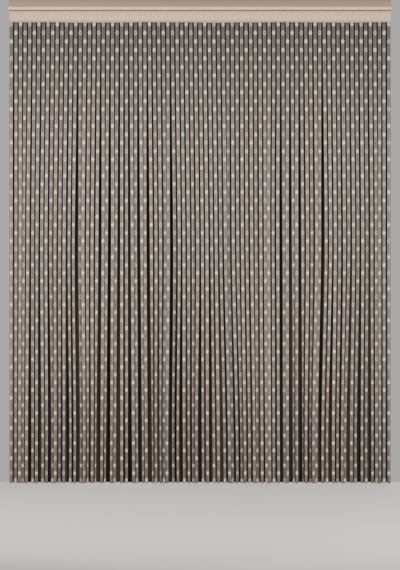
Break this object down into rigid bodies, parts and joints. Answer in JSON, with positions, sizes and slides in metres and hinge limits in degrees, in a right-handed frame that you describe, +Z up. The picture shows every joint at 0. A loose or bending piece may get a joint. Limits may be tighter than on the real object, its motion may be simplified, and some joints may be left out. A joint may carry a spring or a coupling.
{
  "type": "string curtain with rail",
  "caption": "Door-height string curtain of flat dotted ribbons hanging from a woven heading tape in a slotted top rail.",
  "frame": {"origin": "middle of the rail's flat top face, where the rail is screwed up to a lintel or a ceiling", "axes": "+X along the rail, -Y out of the front face, +Z up; the ribbons hang down along -Z"},
  "size_m": [1.66, 0.035, 2.1],
  "materials": {
    "rail_paint": "satin beige paint on a drawn rail",
    "heading_cloth": "woven beige heading tape with a stitched lower edge",
    "ribbon_cloth": "matt taupe woven ribbon with pale oval dots and rings"
  },
  "bodies": {
    "root": {"rail": "rail_paint", "header_tape": "heading_cloth", "ribbons_front": "ribbon_cloth", "ribbons_back": "ribbon_cloth"}
  },
  "joints": []
}
